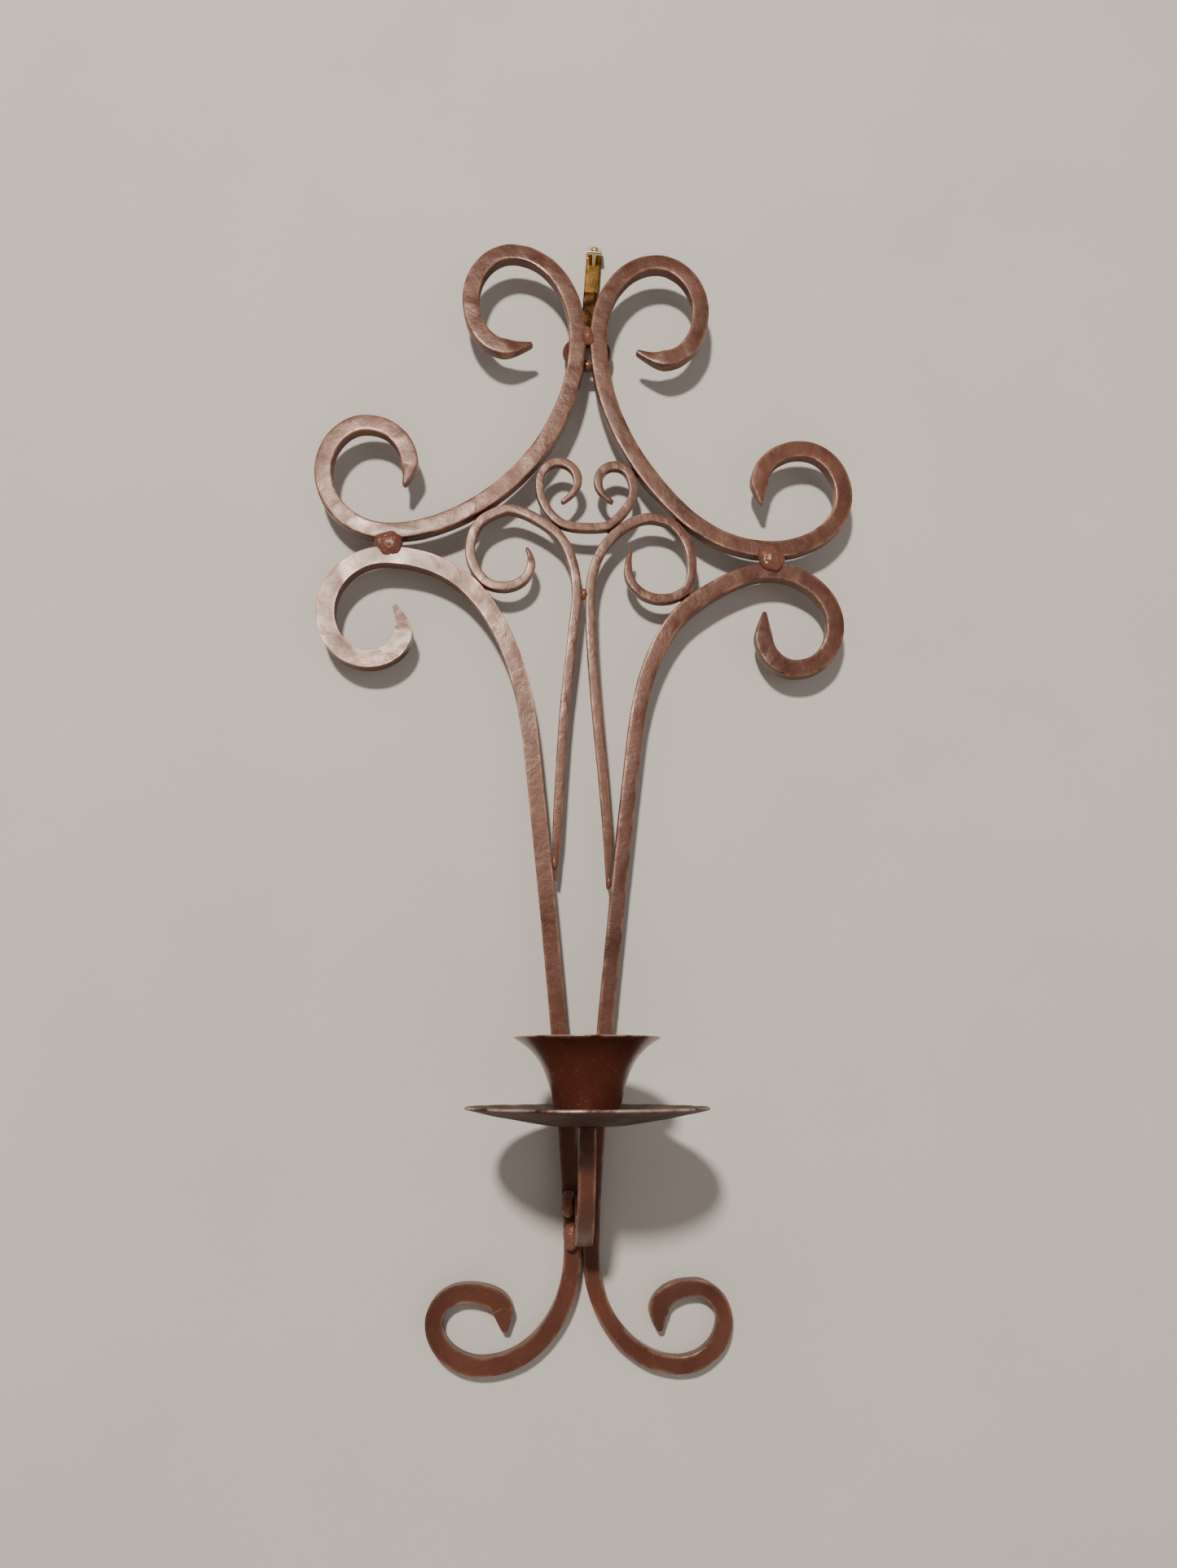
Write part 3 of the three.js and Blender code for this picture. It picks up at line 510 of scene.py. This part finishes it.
def make_arm():
    low, high = [Vector(corner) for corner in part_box("candle_arm")]
    stock = high.x - low.x
    middle = (low.x + high.x) / 2
    tail_y = high.y - stock / 2
    end_y = low.y + stock / 2
    foot_z = low.z + stock / 2
    heel, tail, end = 0.009, 0.016, 0.003
    bm = bmesh.new()
    half = stock / 2
    ring = [bm.verts.new((middle + sx * half, tail_y + sy * half, foot_z + tail))
            for sx, sy in ((-1, -1), (1, -1), (1, 1), (-1, 1))]
    face = bm.faces.new(ring)
    face = draw_out(bm, face, (0, 0, heel - tail), 2)
    face = bend_end(bm, face, (0, tail_y - heel, foot_z + heel), -math.pi / 2, 6)
    # The sweep is a quarter of an ellipse, bent a little at a time.
    reach, rise, steps = tail_y - heel - end_y, high.z - end - foot_z, 14
    spot = Vector((0, 0, 0))
    for i in range(1, steps + 1):
        angle = math.pi / 2 * i / steps
        target = Vector((0, -reach * math.sin(angle), rise * (1 - math.cos(angle))))
        before = math.atan2(rise * math.sin(angle - math.pi / 2 / steps),
                            reach * math.cos(angle - math.pi / 2 / steps))
        after = math.atan2(rise * math.sin(angle), reach * math.cos(angle))
        face = draw_out(bm, face, target - spot)
        bmesh.ops.rotate(bm, verts=face.verts, cent=face.calc_center_median(),
                         matrix=Matrix.Rotation(before - after, 3, "X"))
        spot = target
    draw_out(bm, face, (0, 0, end), 1)
    bmesh.ops.remove_doubles(bm, verts=bm.verts, dist=1e-6)
    bmesh.ops.recalc_face_normals(bm, faces=bm.faces)
    return bm


arm_bm = make_arm()
round_long_edges(arm_bm, 0.0007, 2, 50)
mark_corners(arm_bm, 24)
arm = new_piece("candle_arm_forged", arm_bm, "sconce", bar_paint)
subdivide(arm, 2)
strike(settle(arm), 0.014, 0.00024, 21)
for face in arm.data.polygons:
    face.use_smooth = True
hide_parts("candle_arm")


# ---- Drip pan ----
# A disc of 1.3 mm sheet, dished over a stump and planished with a ball hammer, its rim filed
# round. The same paint lies on it, duller, with its colours darkened as a painted shade.

# These colours are darker than the bars' as a painted shade, for an underside left in the shadow of the
# lamp above.
pan_paint_painted_shade = painted_iron("pan_paint_with_painted_shade", (0.026, 0.008, 0.005), (0.050, 0.016, 0.010),
                         (0.80, 0.62, 0.50), wear=1.0, dust=0.12, dull=0.5, coat=0.0, bump_strength=0.16,
                         shine=0.12)
pan_low, pan_high = [Vector(corner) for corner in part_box("drip_pan")]
PAN_CENTRE = Vector(((pan_low.x + pan_high.x) / 2, (pan_low.y + pan_high.y) / 2, pan_low.z))
PAN_RADIUS = (pan_high.x - pan_low.x) / 2
PAN_DEPTH = pan_high.z - pan_low.z
SHEET = 0.0013


def make_pan():
    flat, hole, lip = 0.015, 0.00225, 0.0012
    steps = [i / 14 for i in range(15)]
    under = [(flat + (PAN_RADIUS - flat) * t, (PAN_DEPTH - lip) * (3 * t + t * t) / 4) for t in steps]
    above = [(r, z + SHEET) for r, z in reversed(under[:-1])]
    rim = [(PAN_RADIUS, PAN_DEPTH - 0.0010), (PAN_RADIUS - 0.00006, PAN_DEPTH - 0.0006),
           (PAN_RADIUS - 0.0003, PAN_DEPTH - 0.00015), (PAN_RADIUS - 0.0009, PAN_DEPTH)]
    profile = [(hole, 0), (0.008, 0), *under, *rim, *above, (0.008, SHEET), (hole, SHEET), (hole, 0)]
    bm = turn(profile, 112)
    bmesh.ops.translate(bm, verts=bm.verts, vec=PAN_CENTRE)
    return bm


def mark_rim(mesh, centre, radius, top, width):
    """Marks the rim of a turned piece as its worn corner."""
    corner = mesh.attributes.new("corner", "FLOAT", "POINT")
    for vert in mesh.vertices:
        across = math.hypot(vert.co.x - centre.x, vert.co.y - centre.y)
        away = math.hypot(across - radius, max(0.0, top - vert.co.z))
        corner.data[vert.index].value = max(0.0, 1 - away / width)


def planish(mesh, size, depth, seed):
    """Lowers both faces of a sheet together, so that its wall keeps its thickness."""
    for vert in mesh.vertices:
        spot = Vector((vert.co.x / size + seed, vert.co.y / size, 0))
        near = noise.voronoi(spot, distance_metric="DISTANCE", exponent=2.5)[0][0]
        fade = min(1.0, 0.2 + (vert.co.z - PAN_CENTRE.z) / 0.004)
        vert.co.z += depth * (0.5 - min(1.0, near / 0.6)) * fade


pan = new_piece("drip_pan_hammered", make_pan(), "sconce", pan_paint_painted_shade)
planish(pan.data, 0.0085, -0.0003, 3)
mark_rim(pan.data, PAN_CENTRE, PAN_RADIUS, pan_high.z, 0.0012)
subdivide(pan, 1)
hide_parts("drip_pan")


# ---- Candle cup ----
# A socket raised from sheet: a plain floor, sides that open slowly, and a rim flared like a
# trumpet. Hammer marks show all round it.

cup_paint = painted_iron("glossy_paint_on_cup", (0.052, 0.012, 0.007), (0.092, 0.024, 0.014),
                         (0.70, 0.46, 0.33), wear=1.0, dust=0.15, dull=0.27, coat=0.2, bump_strength=0.16)
cup_low, cup_high = [Vector(corner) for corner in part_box("candle_cup")]
CUP_CENTRE = Vector(((cup_low.x + cup_high.x) / 2, (cup_low.y + cup_high.y) / 2, cup_low.z))
CUP_RIM = (cup_high.x - cup_low.x) / 2
CUP_HEIGHT = cup_high.z - cup_low.z - 0.0006
CUP_WALL = 0.0012


def make_cup():
    base, flare, hole = 0.0125, 0.007, 0.00225
    trumpet = CUP_RIM - base - flare

    def side(t):
        return base + flare * t + trumpet * t ** 5, CUP_HEIGHT * t

    steps = [0.03, 0.1, 0.2, 0.3, 0.4, 0.5, 0.6, 0.68, 0.75, 0.81, 0.86, 0.9, 0.935, 0.965, 0.99]
    outer = [side(t) for t in steps]
    inner = [(r - CUP_WALL, z + CUP_WALL / 2) for r, z in reversed(outer)]
    rim = [side(1.0), (CUP_RIM - 0.0002, CUP_HEIGHT + 0.0004),
           (CUP_RIM - 0.0007, CUP_HEIGHT + 0.00058)]
    floor = [(base - CUP_WALL - 0.0003, CUP_WALL), (0.006, CUP_WALL), (hole, CUP_WALL), (hole, 0)]
    foot = [(hole, 0), (0.006, 0), (base - 0.0012, 0), (base - 0.0003, 0.0003)]
    bm = turn([*foot, *outer, *rim, *inner, *floor], 96)
    bmesh.ops.translate(bm, verts=bm.verts, vec=CUP_CENTRE)
    return bm


def raise_marks(mesh, size, depth, seed):
    """Hammer marks on the cup's side, moved in and out with both faces together."""
    for vert in mesh.vertices:
        across = Vector((vert.co.x - CUP_CENTRE.x, vert.co.y - CUP_CENTRE.y, 0))
        height = vert.co.z - CUP_CENTRE.z
        if across.length < 0.009 or height < 0.002:
            continue
        turned = math.atan2(across.y, across.x)
        spot = Vector((math.cos(turned) * 0.017, math.sin(turned) * 0.017, height)) / size
        spot += Vector((seed, 0, 0))
        near = noise.voronoi(spot, distance_metric="DISTANCE", exponent=2.5)[0][0]
        fade = max(0.0, 1 - height / CUP_HEIGHT * 0.8)
        vert.co -= across.normalized() * depth * min(1.0, near / 0.6) * fade


cup = new_piece("candle_cup_raised", make_cup(), "sconce", cup_paint)
raise_marks(cup.data, 0.0075, 0.00035, 2)
mark_rim(cup.data, CUP_CENTRE, CUP_RIM, cup_high.z, 0.0018)
subdivide(cup, 1)
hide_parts("candle_cup")


# ---- Cup screw ----
# A slotted screw through the floor of the cup and the pan into the end of the arm, painted
# over with the rest. The candle stands on its flat head.

def make_screw():
    low, high = [Vector(corner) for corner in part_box("cup_screw")]
    centre = Vector(((low.x + high.x) / 2, (low.y + high.y) / 2, high.z))
    head, tall, shank = (high.x - low.x) / 2, 0.0024, 0.0019
    length = high.z - low.z
    top = [(0, 0), (head - 0.0008, 0), (head - 0.0002, -0.0003), (head - 0.00004, -0.0009),
           (head - 0.00004, -tall)]
    thread = [(shank, -tall), (shank, -length + 0.0006), (shank - 0.0006, -length), (0, -length)]
    bm = turn(top + thread, 40)
    bmesh.ops.translate(bm, verts=bm.verts, vec=centre)
    return bm, centre


screw_bm, screw_centre = make_screw()
# The screw takes the weld paint, whose lighter colours are a painted sheen.
screw = new_piece("cup_screw_slotted", screw_bm, "sconce", weld_paint_painted_sheen)
slot_bm = bmesh.new()
bmesh.ops.create_cube(slot_bm, size=1.0)
bmesh.ops.scale(slot_bm, verts=slot_bm.verts, vec=(0.012, 0.0011, 0.0022))
bmesh.ops.rotate(slot_bm, verts=slot_bm.verts, cent=(0, 0, 0), matrix=Matrix.Rotation(0.5, 3, "Z"))
bmesh.ops.translate(slot_bm, verts=slot_bm.verts, vec=screw_centre)
slot_mesh = bpy.data.meshes.new("screw_slot_cutter")
slot_bm.to_mesh(slot_mesh)
slot_bm.free()
cutter = bpy.data.objects.new("screw_slot_cutter", slot_mesh)
bpy.context.scene.collection.objects.link(cutter)
sawn = screw.modifiers.new("slot", "BOOLEAN")
sawn.object = cutter
sawn.solver = "EXACT"
settle(screw)
bpy.data.objects.remove(cutter)
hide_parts("cup_screw")


# ---- Stage ----
# A pale plastered wall behind, a pale floor far below, a soft lamp up to the left and a camera
# below the frame's middle, looking up at it.

def plain_stage(name, colour, grain, one_sided):
    material, nodes, links, surface = new_material(name)
    place = nodes.new("ShaderNodeTexCoord").outputs["Object"]
    mottled = spread(nodes, links, noise_texture(nodes, links, place, 9, 4), 0.3, 0.7)
    links.new(mix_colours(nodes, links, mottled, colour, tuple(c * 0.94 for c in colour[:3]) + (1,)),
              surface.inputs["Base Color"])
    surface.inputs["Roughness"].default_value = 0.85
    bump = nodes.new("ShaderNodeBump")
    bump.inputs["Strength"].default_value = grain
    bump.inputs["Distance"].default_value = 0.0008
    links.new(noise_texture(nodes, links, place, 330, 5, 0.6), bump.inputs["Height"])
    links.new(bump.outputs["Normal"], surface.inputs["Normal"])
    if one_sided:
        clear = nodes.new("ShaderNodeBsdfTransparent")
        sides = nodes.new("ShaderNodeMixShader")
        links.new(nodes.new("ShaderNodeNewGeometry").outputs["Backfacing"], sides.inputs["Fac"])
        links.new(surface.outputs["BSDF"], sides.inputs[1])
        links.new(clear.outputs["BSDF"], sides.inputs[2])
        links.new(sides.outputs["Shader"], nodes["Material Output"].inputs["Surface"])
    return material


def stage_plane(name, size, turn_x, place, material):
    bm = bmesh.new()
    bmesh.ops.create_grid(bm, x_segments=1, y_segments=1, size=size / 2)
    bmesh.ops.rotate(bm, verts=bm.verts, cent=(0, 0, 0), matrix=Matrix.Rotation(turn_x, 3, "X"))
    bmesh.ops.translate(bm, verts=bm.verts, vec=place)
    mesh = bpy.data.meshes.new(name)
    bm.to_mesh(mesh)
    bm.free()
    mesh.materials.append(material)
    plane = bpy.data.objects.new(name, mesh)
    bpy.context.scene.collection.objects.link(plane)


wall_plaster = plain_stage("wall_plaster", (0.60, 0.56, 0.52, 1), 0.3, True)
floor_plaster = plain_stage("floor_plaster", (0.62, 0.59, 0.56, 1), 0.1, False)
stage_plane("wall", 8.0, math.pi / 2, (0, 0.0002, 2.6), wall_plaster)
stage_plane("floor", 8.0, 0.0, (0, -4.0, -1.4), floor_plaster)

camera_data = bpy.data.cameras.new("camera")
camera_data.sensor_fit = "HORIZONTAL"
camera_data.sensor_width = 36
camera_data.lens = 36.02
camera_data.clip_start = 0.01
camera = bpy.data.objects.new("camera", camera_data)
camera.location = (-0.0255, -0.553, -0.4208)
camera.rotation_euler = (math.radians(103.9), 0, math.radians(-2.4))
bpy.context.scene.collection.objects.link(camera)
bpy.context.scene.camera = camera


def soft_lamp(name, place, aim, size, power, colour):
    data = bpy.data.lights.new(name, "AREA")
    data.shape = "DISK"
    data.size = size
    data.energy = power
    data.color = colour
    lamp = bpy.data.objects.new(name, data)
    lamp.location = place
    lamp.rotation_euler = (Vector(aim) - Vector(place)).to_track_quat("-Z", "Y").to_euler()
    bpy.context.scene.collection.objects.link(lamp)


middle = Vector((0, 0, -0.27))
soft_lamp("key_lamp", (-0.41, -2.15, 0.62), middle, 0.22, 64, (1.0, 0.93, 0.85))
soft_lamp("fill_lamp", (0.9, -1.1, -0.5), middle, 1.2, 2.2, (0.95, 0.97, 1.0))
world = bpy.data.worlds.new("studio")
world.use_nodes = True
world.node_tree.nodes["Background"].inputs["Color"].default_value = (0.82, 0.80, 0.78, 1)
world.node_tree.nodes["Background"].inputs["Strength"].default_value = 0.24
bpy.context.scene.world = world
